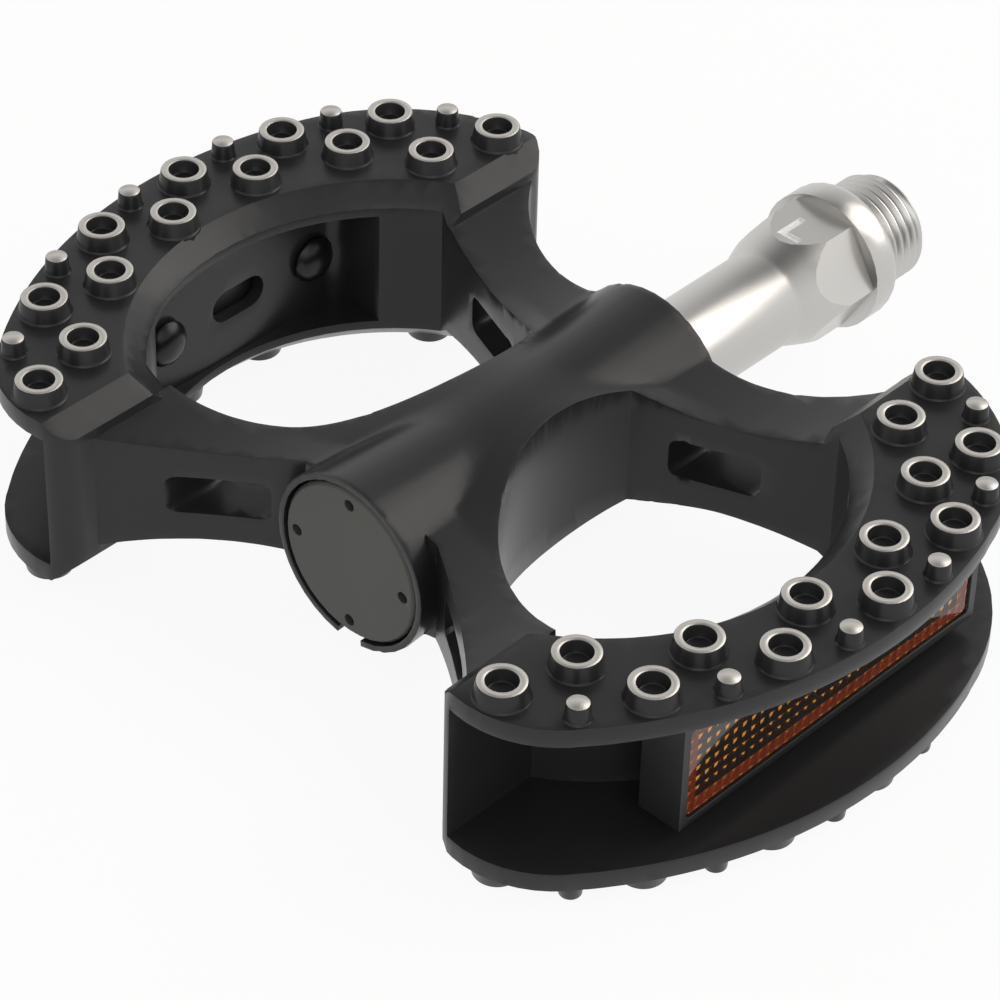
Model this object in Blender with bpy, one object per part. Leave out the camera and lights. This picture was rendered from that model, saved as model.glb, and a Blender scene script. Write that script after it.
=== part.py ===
"""Flat bicycle pedal: a studded casting with two C-channel platforms on a cup-and-cone barrel.

Metres, +Z up. The origin is the centre of the spindle's crank-side end face, +X points out of the
pedal towards the crank arm, and Y runs fore and aft. Shapes are drawn in the platform frame, whose
origin lies on the spindle axis under the middle of the platforms.
"""

import math

import bmesh
import bpy
from mathutils import Matrix, Vector

MM = 0.001

# Overall places
SPINDLE_REACH = 69.6 * MM
CLEARANCE = 0.3 * MM
OVERCUT = 1.5 * MM
WELD = 0.002 * MM

# Platform rim in plan: one arc about the spindle axis, with a rounded corner at each end
RIM_RADIUS = 59.4 * MM
OUTBOARD_SIDE = -43.0 * MM
OUTBOARD_CORNER = 14.0 * MM
CRANK_SIDE = 40.0 * MM
CRANK_CORNER = 29.0 * MM

# Platform section: a channel that opens at the rim
PAD_HALF = 11.8 * MM
FLANGE = 2.5 * MM
INNER_WALL = 2.5 * MM
ARCH_X = -2.3 * MM
ARCH_Y = 15.5 * MM
ARCH_RADIUS = 29.4 * MM
PLATFORM_FOOT = 29.8 * MM
FOOT_CORNER = 3.5 * MM
BAND_RUN = 2.6 * MM
BAND_DROP = 2.6 * MM

# Openings between the platforms and the barrel
WAIST_X = 3.35 * MM
WAIST_Y = 34.3 * MM
WAIST_RADIUS = 28.0 * MM
CRANK_ARM_X = 9.9 * MM
CRANK_ARM_LEAN = 0.385

# Arms: outer edges are hollow arcs, and the height dips between the barrel and the platform
ARM_ROOT = 10.5 * MM
CAP_ARM_ROOT_X = -22.2 * MM
CAP_ARM_STEP = 4.6 * MM
CAP_ARM_RADIUS = 95.0 * MM
CRANK_ARM_ROOT_X = 25.05 * MM
CRANK_ARM_STEP = 2.2 * MM
CRANK_ARM_RADIUS = 24.2 * MM
ARM_HALF = 6.4 * MM
ARM_DIP_AT = 18.0 * MM
ARM_DIP_RISE = 10.7
ARM_STRIPS = 6
SLOT_HALF_HEIGHT = 2.65 * MM
SLOT_CORNER = 1.2 * MM
CAP_SLOT = (14.0 * MM, 24.0 * MM)
CRANK_SLOT = (12.6 * MM, 23.4 * MM)

# Studs
STUD_TOP = 13.85 * MM
STUD_SINK = 0.6 * MM
RING_TOP_RADIUS = 2.7 * MM
RING_BASE_RADIUS = 3.3 * MM
RING_HOLE_RADIUS = 1.73 * MM
RING_HOLE_DEPTH = 1.7 * MM
PIN_TOP_RADIUS = 1.31 * MM
PIN_BASE_RADIUS = 1.6 * MM
RING_COUNT = 7
RING_INSET = 3.6 * MM
RING_FIRST_PAST = 7.3
RING_LAST_PAST = 23.9
RING_PITCH_TAPER = 0.5
PIN_OFFSET = 2.2 * MM
PIN_FIRST_OFFSET = 3.3 * MM
INNER_OFFSET = 4.8 * MM
INNER_LAST_OFFSET = 7.0 * MM
RING_SIDES = 10
PIN_SIDES = 8

# Barrel and its bores, from the cap to the crank end
CAP_END = -25.65 * MM
CRANK_END = 25.7 * MM
CAP_END_RADIUS = 11.5 * MM
CRANK_END_RADIUS = 11.5 * MM
WAIST_BARREL_RADIUS = 10.4 * MM
BARREL_STATIONS = 6
CAP_BORE = 10.7 * MM
CAP_THICKNESS = 2.7 * MM
CAP_EDGE = 0.4 * MM
CAP_HOLE_CIRCLE = 8.5 * MM
CAP_HOLE_RADIUS = 0.75 * MM
CAP_HOLE_DEPTH = 1.2 * MM
CAP_HOLES = 4
NOTCH_HALF_WIDTH = 1.75 * MM
NOTCH_DEPTH = 1.6 * MM
OUTER_CUP_RADIUS = 8.6 * MM
INNER_CUP_RADIUS = 9.2 * MM
MIDDLE_BORE = 5.0 * MM

# Bearings: 1/8 inch balls between pressed cups and cones
BALL_RADIUS = 1.5875 * MM
RACE_GAP = 0.15 * MM
CUP_WALL = 0.9 * MM
CUP_LIP = 1.2 * MM
OUTER_BALL_X = -14.5 * MM
INNER_BALL_X = 18.0 * MM
OUTER_BALLS = 10
INNER_BALLS = 11
RACE_STEPS = 4

# Spindle
SHANK_RADIUS = 6.35 * MM
MIDDLE_RADIUS = 4.6 * MM
SMALL_END_RADIUS = 3.0 * MM
SMALL_END_X = -22.4 * MM
STEP_RUN = 1.5 * MM
FLARE_START = 45.0 * MM
WRENCH_END = 57.5 * MM
WRENCH_FLATS = 15.0 * MM
COLLAR_RADIUS = 9.2 * MM
COLLAR_FRONT = 62.2 * MM
COLLAR_ROUND = 1.6 * MM
THREAD_RADIUS = 7.14 * MM
THREAD_CHAMFER = 0.8 * MM

# Cone, washer, nut and seal on the spindle
CONE_LENGTH = 3.7 * MM
WASHER_RADIUS = 5.8 * MM
WASHER_THICKNESS = 1.0 * MM
NUT_FLATS = 10.5 * MM
NUT_THICKNESS = 2.3 * MM
SEAL_LENGTH = 3.6 * MM
SEAL_RECESS = 0.5 * MM

# Reflectors, in the channel against a flat part of the inner wall
REFLECTOR_MIDDLE = -0.5 * MM
REFLECTOR_LENGTH = 51.0 * MM
REFLECTOR_HALF_HEIGHT = 7.5 * MM
REFLECTOR_FRONT = 51.1 * MM
REFLECTOR_END_DEPTH = 6.0 * MM
REFLECTOR_END_LENGTH = 5.0 * MM
BEZEL = 1.1 * MM
LENS_THICKNESS = 1.4 * MM
LENS_CORNER = 0.6 * MM
SEAT_FACE = 45.5 * MM
SEAT_WALL = 1.8 * MM
SEAT_HALF_LENGTH = 17.5 * MM
SEAT_HALF_HEIGHT = 8.0 * MM
SEAT_CORNER = 2.0 * MM
SCREW_SPACING = 24.9 * MM
SCREW_MIDDLE = 0.3 * MM
SCREW_RADIUS = 2.0 * MM
SCREW_HEAD_RADIUS = 3.1 * MM
SCREW_HEAD_HEIGHT = 1.7 * MM
HEAD_CROWN_SHARE = 0.45
HEAD_SHOULDER_SHARES = (0.3, 0.8)
HEAD_SIDE_SHARE = 0.75
DRAIN_HALF_LENGTH = 4.3 * MM
DRAIN_HALF_HEIGHT = 2.2 * MM
DRAIN_CORNER = 2.15 * MM

ROUND_STEPS = 36
BAND_STEPS = 64
SPINDLE_STEPS = 32
HOLE_STEPS = 16
SMALL_HOLE_STEPS = 10
FLARE_STEPS = 8


def material(name, colour, roughness, metallic):
    """A Principled material with a linear base colour."""
    made = bpy.data.materials.new(name)
    made.use_nodes = True
    shader = made.node_tree.nodes["Principled BSDF"]
    shader.inputs["Base Color"].default_value = (*colour, 1.0)
    shader.inputs["Roughness"].default_value = roughness
    shader.inputs["Metallic"].default_value = metallic
    return made


def add_object(name, mesh_data, parent=None, finish=None):
    """Turns a bmesh into a named object, shaded smooth up to 35 degrees."""
    bmesh.ops.recalc_face_normals(mesh_data, faces=mesh_data.faces)
    mesh = bpy.data.meshes.new(name)
    mesh_data.to_mesh(mesh)
    mesh_data.free()
    mesh.shade_smooth()
    mesh.set_sharp_from_angle(angle=math.radians(35))
    made = bpy.data.objects.new(name, mesh)
    bpy.context.scene.collection.objects.link(made)
    dress(made, parent, finish)
    return made


def dress(made, parent, finish):
    """Parents an object and gives it its material."""
    made.parent = parent
    if finish is not None:
        made.data.materials.clear()
        made.data.materials.append(finish)


def boolean(body, tool, operation):
    """Joins a tool to a body or cuts it away, and removes the tool."""
    modifier = body.modifiers.new(operation.title(), "BOOLEAN")
    modifier.operation = operation
    modifier.solver = "EXACT"
    modifier.object = tool
    graph = bpy.context.evaluated_depsgraph_get()
    mesh = bpy.data.meshes.new_from_object(body.evaluated_get(graph))
    body.modifiers.clear()
    weld(mesh)
    body.data = mesh
    bpy.data.objects.remove(tool)


def weld(mesh):
    """Merges the points that a Boolean leaves together, and drops flaps of no thickness."""
    made = bmesh.new()
    made.from_mesh(mesh)
    bmesh.ops.remove_doubles(made, verts=made.verts, dist=WELD)
    sheets = {}
    for face in made.faces:
        sheets.setdefault(frozenset(face.verts), []).append(face)
    flaps = [face for group in sheets.values() if len(group) > 1 for face in group]
    bmesh.ops.delete(made, geom=flaps, context="FACES")
    made.to_mesh(mesh)
    made.free()


def arc(centre_x, centre_y, radius, start, end, steps):
    """Points along an arc, both ends included, with angles in radians."""
    turns = [start + (end - start) * step / steps for step in range(steps + 1)]
    return [(centre_x + radius * math.cos(turn), centre_y + radius * math.sin(turn)) for turn in turns]


def arc_between(start, end, radius, steps):
    """Points along the arc of a given radius from one point to another, hollow on its right side."""
    first = Vector(start)
    chord = Vector(end) - first
    rise = math.sqrt(radius ** 2 - chord.length_squared / 4)
    centre = first + chord / 2 + Vector((chord.y, -chord.x)).normalized() * rise
    low = math.atan2(first.y - centre.y, first.x - centre.x)
    sweep = -2 * math.asin(chord.length / 2 / radius)
    return arc(centre.x, centre.y, radius, low, low + sweep, steps)


def prism(outline, low, high):
    """A bmesh of an XY outline extruded from one height to another."""
    made = bmesh.new()
    face = made.faces.new([made.verts.new((x, y, low)) for x, y in outline])
    grown = bmesh.ops.extrude_face_region(made, geom=[face])
    risen = [item for item in grown["geom"] if isinstance(item, bmesh.types.BMVert)]
    bmesh.ops.translate(made, verts=risen, vec=(0, 0, high - low))
    bmesh.ops.remove_doubles(made, verts=made.verts, dist=WELD)
    bmesh.ops.recalc_face_normals(made, faces=made.faces)
    return made


def turned(profile, steps):
    """A bmesh of a profile of (x, radius) points turned about the X axis."""
    made = bmesh.new()
    points = [made.verts.new((x, 0, radius)) for x, radius in profile]
    pairs = list(zip(points, points[1:]))
    if profile[0][1] > 0:
        pairs.append((points[-1], points[0]))
    edges = [made.edges.new(pair) for pair in pairs]
    bmesh.ops.spin(made, geom=points + edges, cent=(0, 0, 0), axis=(1, 0, 0), angle=math.tau,
                   steps=steps, use_merge=True)
    bmesh.ops.remove_doubles(made, verts=made.verts, dist=WELD)
    bmesh.ops.recalc_face_normals(made, faces=made.faces)
    return made


def mirrored(mesh_data, side):
    """The same bmesh on the front (-1) or the rear (+1) of the pedal."""
    bmesh.ops.scale(mesh_data, verts=mesh_data.verts, vec=(1, side, 1))
    bmesh.ops.recalc_face_normals(mesh_data, faces=mesh_data.faces)
    return mesh_data


def rounded_box(half_x, half_y, corner, steps=4):
    """The outline of a rectangle about the origin with round corners."""
    outline = []
    for quarter in range(4):
        start = quarter * math.pi / 2
        x = (half_x - corner) * (1 if quarter in (0, 3) else -1)
        y = (half_y - corner) * (1 if quarter in (0, 1) else -1)
        outline += arc(x, y, corner, start, start + math.pi / 2, steps)
    return outline


def corner_centre(side, corner):
    """Centre of a rim corner that touches a platform side and the rim arc."""
    x = side - math.copysign(corner, side)
    return x, math.sqrt((RIM_RADIUS - corner) ** 2 - x ** 2)


def rim_distance(angle, inset):
    """Distance from the platform centre to the rim, moved in by an inset, along an angle."""
    for side, corner in ((OUTBOARD_SIDE, OUTBOARD_CORNER), (CRANK_SIDE, CRANK_CORNER)):
        x, y = corner_centre(side, corner)
        tangent = math.atan2(y, x)
        past = angle > tangent if side < 0 else angle < tangent
        if past:
            along = x * math.cos(angle) + y * math.sin(angle)
            return along + math.sqrt((corner - inset) ** 2 - x ** 2 - y ** 2 + along ** 2)
    return RIM_RADIUS - inset


def platform_outline():
    """Rim of one platform, closed by a straight foot towards the barrel with a round corner at each end."""
    out_x, out_y = corner_centre(OUTBOARD_SIDE, OUTBOARD_CORNER)
    crank_x, crank_y = corner_centre(CRANK_SIDE, CRANK_CORNER)
    out_turn = math.atan2(out_y, out_x)
    crank_turn = math.atan2(crank_y, crank_x)
    foot_y = PLATFORM_FOOT + FOOT_CORNER
    out_reach = OUTBOARD_CORNER - FOOT_CORNER
    out_foot_turn = math.pi - math.asin(max(0, foot_y - out_y) / out_reach)
    out_foot_x = out_x + out_reach * math.cos(out_foot_turn)
    crank_reach = CRANK_CORNER - FOOT_CORNER
    crank_foot_turn = math.asin((foot_y - crank_y) / crank_reach)
    crank_foot_x = crank_x + crank_reach * math.cos(crank_foot_turn)
    outline = arc(out_foot_x, foot_y, FOOT_CORNER, math.pi * 1.5, out_foot_turn, 5)
    outline += arc(out_x, out_y, OUTBOARD_CORNER, out_foot_turn, out_turn, 7)
    outline += arc(0, 0, RIM_RADIUS, out_turn, crank_turn, 16)[1:]
    outline += arc(crank_x, crank_y, CRANK_CORNER, crank_turn, crank_foot_turn, 7)[1:]
    outline += arc(crank_foot_x, foot_y, FOOT_CORNER, crank_foot_turn, -math.pi / 2, 6)[1:]
    return outline


def arch_y(x, radius):
    """Height in Y of the arch of a given radius over a place in X."""
    return ARCH_Y + math.sqrt(radius ** 2 - (x - ARCH_X) ** 2)


def channel_outline():
    """Inside of the channel: it follows the inner wall and runs out past the rim."""
    wall = ARCH_RADIUS + INNER_WALL
    floor = PLATFORM_FOOT + INNER_WALL
    low_x = OUTBOARD_SIDE - OVERCUT
    high_x = CRANK_SIDE + OVERCUT
    seat = SEAT_FACE + SEAT_WALL
    reach = SEAT_HALF_LENGTH + SEAT_WALL
    left = REFLECTOR_MIDDLE - reach
    right = REFLECTOR_MIDDLE + reach
    floor_turn = math.asin((floor - ARCH_Y) / wall)
    left_turn = math.atan2(arch_y(left, wall) - ARCH_Y, left - ARCH_X)
    right_turn = math.atan2(arch_y(right, wall) - ARCH_Y, right - ARCH_X)
    outline = [(low_x, RIM_RADIUS + OVERCUT), (low_x, floor)]
    outline += arc(ARCH_X, ARCH_Y, wall, math.pi - floor_turn, left_turn, 6)
    outline += [(left, seat), (right, seat)]
    outline += arc(ARCH_X, ARCH_Y, wall, right_turn, floor_turn, 6)
    outline += [(high_x, floor), (high_x, RIM_RADIUS + OVERCUT)]
    return outline


def make_platform(side):
    """One platform: rim plate, sloped inner bands and the channel behind the rim."""
    made = prism(platform_outline(), -PAD_HALF, PAD_HALF)
    for face in (-1, 1):
        point = (0, PLATFORM_FOOT + BAND_RUN, face * PAD_HALF)
        normal = (0, -BAND_DROP, face * BAND_RUN)
        geometry = made.verts[:] + made.edges[:] + made.faces[:]
        cut = bmesh.ops.bisect_plane(made, geom=geometry, plane_co=point, plane_no=normal, clear_outer=True)
        rim = [item for item in cut["geom_cut"] if isinstance(item, bmesh.types.BMEdge)]
        bmesh.ops.holes_fill(made, edges=rim)
    platform = add_object(f"platform_{side}", mirrored(made, side))
    slope = BAND_RUN / BAND_DROP
    for face in (-1, 1):
        low = 2 * BAND_DROP
        narrow = ARCH_RADIUS + BAND_RUN - low * slope
        wide = ARCH_RADIUS + BAND_RUN + OVERCUT * slope
        cone = bmesh.new()
        bmesh.ops.create_cone(cone, cap_ends=True, segments=BAND_STEPS, radius1=narrow, radius2=wide,
                              depth=low + OVERCUT)
        bmesh.ops.translate(cone, verts=cone.verts, vec=(0, 0, PAD_HALF + (OVERCUT - low) / 2))
        bmesh.ops.scale(cone, verts=cone.verts, vec=(1, 1, face))
        bmesh.ops.translate(cone, verts=cone.verts, vec=(ARCH_X, side * ARCH_Y, 0))
        boolean(platform, add_object("band_cone", cone), "DIFFERENCE")
    depth = PAD_HALF - FLANGE
    channel = add_object("channel", mirrored(prism(channel_outline(), -depth, depth), side))
    boolean(platform, channel, "DIFFERENCE")
    return platform


def arm_half_height(y):
    """Half height of the arms over Y: lowest between the barrel and the platform."""
    return ARM_HALF + ARM_DIP_RISE * (abs(y) - ARM_DIP_AT) ** 2


def make_arms():
    """The four arms and the web round the barrel, as one plate with a hollowed top and bottom."""
    reach = PLATFORM_FOOT + INNER_WALL - OVERCUT
    crank_end = (CRANK_SIDE - CRANK_ARM_STEP, reach)
    cap_end = (OUTBOARD_SIDE + CAP_ARM_STEP, reach)
    half = arc_between((CRANK_ARM_ROOT_X, ARM_ROOT), crank_end, CRANK_ARM_RADIUS, 9)
    half += arc_between(cap_end, (CAP_ARM_ROOT_X, ARM_ROOT), CAP_ARM_RADIUS, 6)
    outline = half + [(x, -y) for x, y in reversed(half)]
    made = prism(outline, -ARM_HALF, ARM_HALF)
    for strip in range(1 - ARM_STRIPS, ARM_STRIPS):
        geometry = made.verts[:] + made.edges[:] + made.faces[:]
        place = reach * strip / ARM_STRIPS
        bmesh.ops.bisect_plane(made, geom=geometry, plane_co=(0, place, 0), plane_no=(0, 1, 0))
    for vert in made.verts:
        vert.co.z = math.copysign(arm_half_height(vert.co.y), vert.co.z)
    return add_object("arms", made)


def opening_outline():
    """Through opening between a platform and the barrel: two arcs closed by the crank-side arm."""
    lean = math.hypot(1, CRANK_ARM_LEAN)
    along = Vector((CRANK_ARM_LEAN, 1)) / lean
    start = Vector((CRANK_ARM_X, 0))

    def line_turn(x, y, radius, outward):
        to_centre = Vector((x, y)) - start
        foot = start + along * along.dot(to_centre)
        chord = math.sqrt(radius ** 2 - (foot - Vector((x, y))).length_squared)
        meeting = foot + along * chord * outward
        return math.atan2(meeting.y - y, meeting.x - x)

    apart = math.hypot(WAIST_X - ARCH_X, WAIST_Y - ARCH_Y)
    toward = math.atan2(WAIST_Y - ARCH_Y, WAIST_X - ARCH_X)
    spread = math.acos((ARCH_RADIUS ** 2 + apart ** 2 - WAIST_RADIUS ** 2) / (2 * ARCH_RADIUS * apart))
    arch_end = toward + spread
    end_x = ARCH_X + ARCH_RADIUS * math.cos(arch_end)
    end_y = ARCH_Y + ARCH_RADIUS * math.sin(arch_end)
    waist_start = math.atan2(end_y - WAIST_Y, end_x - WAIST_X) % math.tau
    waist_end = line_turn(WAIST_X, WAIST_Y, WAIST_RADIUS, -1) % math.tau
    outline = arc(ARCH_X, ARCH_Y, ARCH_RADIUS, line_turn(ARCH_X, ARCH_Y, ARCH_RADIUS, 1), arch_end, 18)
    outline += arc(WAIST_X, WAIST_Y, WAIST_RADIUS, waist_start, waist_end, 14)[1:]
    return outline


def arm_slot(side, span, low_x, high_x):
    """A cutter for the slot through one arm, along X."""
    low, high = span
    outline = rounded_box((high - low) / 2, SLOT_HALF_HEIGHT, SLOT_CORNER, 3)
    made = prism(outline, low_x, high_x)
    bmesh.ops.rotate(made, verts=made.verts, matrix=Matrix(((0, 0, 1), (1, 0, 0), (0, 1, 0))))
    bmesh.ops.translate(made, verts=made.verts, vec=(0, (low + high) / 2, 0))
    return add_object("arm_slot", mirrored(made, side))


def seat_pocket(side):
    """A cutter for the flat seat of the reflector on the inner wall."""
    low = ARCH_Y + ARCH_RADIUS / 2
    outline = rounded_box(SEAT_HALF_LENGTH, (SEAT_FACE - low) / 2, SEAT_CORNER)
    made = prism(outline, -SEAT_HALF_HEIGHT, SEAT_HALF_HEIGHT)
    bmesh.ops.translate(made, verts=made.verts, vec=(REFLECTOR_MIDDLE, (SEAT_FACE + low) / 2, 0))
    return add_object("seat_pocket", mirrored(made, side))


def across_wall(outline, x, side):
    """A cutter along Y through the inner wall at the reflector's seat."""
    made = prism(outline, SEAT_FACE - OVERCUT, SEAT_FACE + SEAT_WALL + OVERCUT)
    bmesh.ops.rotate(made, verts=made.verts, matrix=Matrix(((1, 0, 0), (0, 0, 1), (0, 1, 0))))
    bmesh.ops.translate(made, verts=made.verts, vec=(x, 0, 0))
    return add_object("wall_hole", mirrored(made, side))


def screw_places():
    """X of the two screws of a reflector."""
    return [SCREW_MIDDLE + turn * SCREW_SPACING / 2 for turn in (-1, 1)]


def barrel_radius(x):
    """Outer radius of the barrel, narrowest in the middle."""
    end, radius = (CAP_END, CAP_END_RADIUS) if x < 0 else (CRANK_END, CRANK_END_RADIUS)
    return WAIST_BARREL_RADIUS + (radius - WAIST_BARREL_RADIUS) * (x / end) ** 2


def make_barrel():
    """The barrel's outside, solid."""
    count = 2 * BARREL_STATIONS
    stations = [CAP_END + (CRANK_END - CAP_END) * step / count for step in range(count + 1)]
    profile = [(x, barrel_radius(x)) for x in stations]
    return add_object("barrel", turned([(CAP_END, 0)] + profile + [(CRANK_END, 0)], ROUND_STEPS))


def cup_back(ball_x, way):
    """X of a cup's closed end, on the side away from the open end of the barrel."""
    return ball_x - way * (BALL_RADIUS + RACE_GAP + CUP_WALL)


def make_bore():
    """A cutter for the stepped bore: cap thread, cup seats and the passage between them."""
    cap_floor = CAP_END + CAP_THICKNESS + CLEARANCE
    outer_floor = cup_back(OUTER_BALL_X, -1) + CLEARANCE
    inner_floor = cup_back(INNER_BALL_X, 1) - CLEARANCE
    outer = OUTER_CUP_RADIUS + CLEARANCE
    inner = INNER_CUP_RADIUS + CLEARANCE
    profile = [(CAP_END - OVERCUT, 0), (CAP_END - OVERCUT, CAP_BORE), (cap_floor, CAP_BORE)]
    profile += [(cap_floor, outer), (outer_floor, outer), (outer_floor, MIDDLE_BORE)]
    profile += [(inner_floor, MIDDLE_BORE)]
    profile += [(inner_floor, inner), (CRANK_END + OVERCUT, inner), (CRANK_END + OVERCUT, 0)]
    return add_object("bore", turned(profile, ROUND_STEPS))


def make_notch():
    """A cutter for the pry notch in the barrel's rim, under the dust cap."""
    low = CAP_BORE - OVERCUT
    high = CAP_END_RADIUS + OVERCUT
    end = CAP_END + NOTCH_DEPTH
    start = CAP_END - OVERCUT
    half = NOTCH_HALF_WIDTH
    made = prism([(start, -half), (end, -half), (end, half), (start, half)], -high, -low)
    return add_object("notch", made)


def ring_places():
    """Plan places of the outer ring studs on the rear platform, from the outboard to the crank corner."""
    out_x, out_y = corner_centre(OUTBOARD_SIDE, OUTBOARD_CORNER)
    crank_x, crank_y = corner_centre(CRANK_SIDE, CRANK_CORNER)
    first = math.degrees(math.atan2(out_y, out_x)) + RING_FIRST_PAST
    last = math.degrees(math.atan2(crank_y, crank_x)) - RING_LAST_PAST
    gaps = RING_COUNT - 1
    pitch = (first - last) / gaps + RING_PITCH_TAPER * (gaps - 1) / 2
    places = []
    for index in range(RING_COUNT):
        angle = math.radians(first - pitch * index + RING_PITCH_TAPER * index * (index - 1) / 2)
        distance = rim_distance(angle, RING_INSET)
        places.append(Vector((distance * math.cos(angle), distance * math.sin(angle))))
    return places


def stud_places():
    """Plan places of all studs of one face: (ring places, pin places)."""
    outer = ring_places()
    inner = []
    pins = []
    for index, (first, second) in enumerate(zip(outer, outer[1:])):
        middle = (first + second) / 2
        chord = (second - first).normalized()
        outward = Vector((-chord.y, chord.x))
        last = index == RING_COUNT - 2
        pins.append(middle + outward * (PIN_OFFSET if index else PIN_FIRST_OFFSET))
        inner.append(middle - outward * (INNER_LAST_OFFSET if last else INNER_OFFSET))
    return outer + inner, pins


def stud_profile(base_radius, top_radius):
    """Sunken foot and drafted top of a stud, as radius and height."""
    draft = (base_radius - top_radius) / (STUD_TOP - PAD_HALF)
    return base_radius + draft * STUD_SINK, PAD_HALF - STUD_SINK


def add_stud(studs, place, sides, base_radius, top_radius, hole_radius):
    """Adds one drafted stud to a bmesh, with a blind hole where it has one."""
    foot_radius, foot = stud_profile(base_radius, top_radius)
    made = bmesh.new()
    bmesh.ops.create_cone(made, cap_ends=True, segments=sides, radius1=foot_radius, radius2=top_radius,
                          depth=STUD_TOP - foot)
    bmesh.ops.translate(made, verts=made.verts, vec=(place.x, place.y, (STUD_TOP + foot) / 2))
    if hole_radius:
        top = max(made.faces, key=lambda face: face.calc_center_median().z)
        wall = (top_radius - hole_radius) * math.cos(math.pi / sides)
        bmesh.ops.inset_region(made, faces=[top], thickness=wall)
        grown = bmesh.ops.extrude_face_region(made, geom=[top])
        sunk = [item for item in grown["geom"] if isinstance(item, bmesh.types.BMVert)]
        bmesh.ops.delete(made, geom=[top], context="FACES_ONLY")
        bmesh.ops.translate(made, verts=sunk, vec=(0, 0, -RING_HOLE_DEPTH))
    mesh = bpy.data.meshes.new("stud")
    made.to_mesh(mesh)
    made.free()
    studs.from_mesh(mesh)
    bpy.data.meshes.remove(mesh)


def make_studs():
    """All studs of both platforms and both faces, as one set of solids."""
    studs = bmesh.new()
    rings, pins = stud_places()
    for place in rings:
        add_stud(studs, place, RING_SIDES, RING_BASE_RADIUS, RING_TOP_RADIUS, RING_HOLE_RADIUS)
    for place in pins:
        add_stud(studs, place, PIN_SIDES, PIN_BASE_RADIUS, PIN_TOP_RADIUS, 0)
    for axis in ((1, -1, 1), (1, 1, -1)):
        copied = bmesh.ops.duplicate(studs, geom=studs.verts[:] + studs.edges[:] + studs.faces[:])
        moved = [item for item in copied["geom"] if isinstance(item, bmesh.types.BMVert)]
        bmesh.ops.scale(studs, verts=moved, vec=axis)
    return add_object("studs", studs)


def make_body(parent, finish):
    """The casting: barrel, arms, platforms and studs, then its openings, slots, holes and bore."""
    body = make_barrel()
    body.name = "body_casting"
    boolean(body, make_arms(), "UNION")
    for side in (-1, 1):
        boolean(body, make_platform(side), "UNION")
    for side in (-1, 1):
        opening = prism(opening_outline(), -PAD_HALF - OVERCUT, PAD_HALF + OVERCUT)
        boolean(body, add_object("opening", mirrored(opening, side)), "DIFFERENCE")
        boolean(body, seat_pocket(side), "DIFFERENCE")
        boolean(body, arm_slot(side, CRANK_SLOT, 0, CRANK_SIDE), "DIFFERENCE")
        boolean(body, arm_slot(side, CAP_SLOT, OUTBOARD_SIDE, 0), "DIFFERENCE")
        drain = rounded_box(DRAIN_HALF_LENGTH, DRAIN_HALF_HEIGHT, DRAIN_CORNER)
        boolean(body, across_wall(drain, SCREW_MIDDLE, side), "DIFFERENCE")
        for x in screw_places():
            hole = arc(0, 0, SCREW_RADIUS + CLEARANCE, 0, math.tau, HOLE_STEPS)[:-1]
            boolean(body, across_wall(hole, x, side), "DIFFERENCE")
    boolean(body, make_bore(), "DIFFERENCE")
    boolean(body, make_notch(), "DIFFERENCE")
    boolean(body, make_studs(), "UNION")
    body.data.shade_smooth()
    body.data.set_sharp_from_angle(angle=math.radians(30))
    dress(body, parent, finish)
    return body


def race(ball_x, pitch, start, end):
    """Points of a race round a ball, from one angle to another in degrees from +X."""
    step = math.radians(end - start) / RACE_STEPS
    radius = (BALL_RADIUS + RACE_GAP) / math.cos(step / 2)
    return arc(ball_x, pitch, radius, math.radians(start), math.radians(end), RACE_STEPS)


def cup_pitch(cup_radius):
    """Pitch radius of the balls that run in a cup of a given outer radius."""
    return cup_radius - CUP_WALL - BALL_RADIUS - RACE_GAP


def make_cup(name, ball_x, cup_radius, way, parent, finish):
    """A pressed bearing cup. The way is +1 for the crank end and -1 for the cap end."""
    pitch = cup_pitch(cup_radius)
    curve = race(0, pitch, 90, 180)
    profile = [(CUP_LIP, cup_radius), (CUP_LIP, curve[0][1])] + curve
    profile += [(cup_back(0, 1), pitch), (cup_back(0, 1), cup_radius)]
    placed = [(ball_x + way * x, radius) for x, radius in profile]
    return add_object(name, turned(placed, ROUND_STEPS), parent, finish)


def make_cone(parent, finish):
    """The adjustable cone on the small end of the spindle."""
    pitch = cup_pitch(OUTER_CUP_RADIUS)
    curve = race(0, pitch, -80, -10)
    bore = SMALL_END_RADIUS + CLEARANCE
    profile = [(0, bore), (0, curve[0][1])] + curve + [(CONE_LENGTH, curve[-1][1]), (CONE_LENGTH, bore)]
    placed = [(OUTER_BALL_X - x, radius) for x, radius in profile]
    return add_object("outer_cone", turned(placed, SPINDLE_STEPS), parent, finish)


def flare_profile():
    """The flare between the shank and the collar, from which the wrench flats are milled."""
    length = WRENCH_END - FLARE_START
    start = SHANK_RADIUS - CLEARANCE
    points = []
    for step in range(FLARE_STEPS + 1):
        share = step / FLARE_STEPS
        rise = math.sin(share * math.pi / 2)
        points.append((FLARE_START + length * share, start + (COLLAR_RADIUS - start) * rise))
    return points


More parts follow.
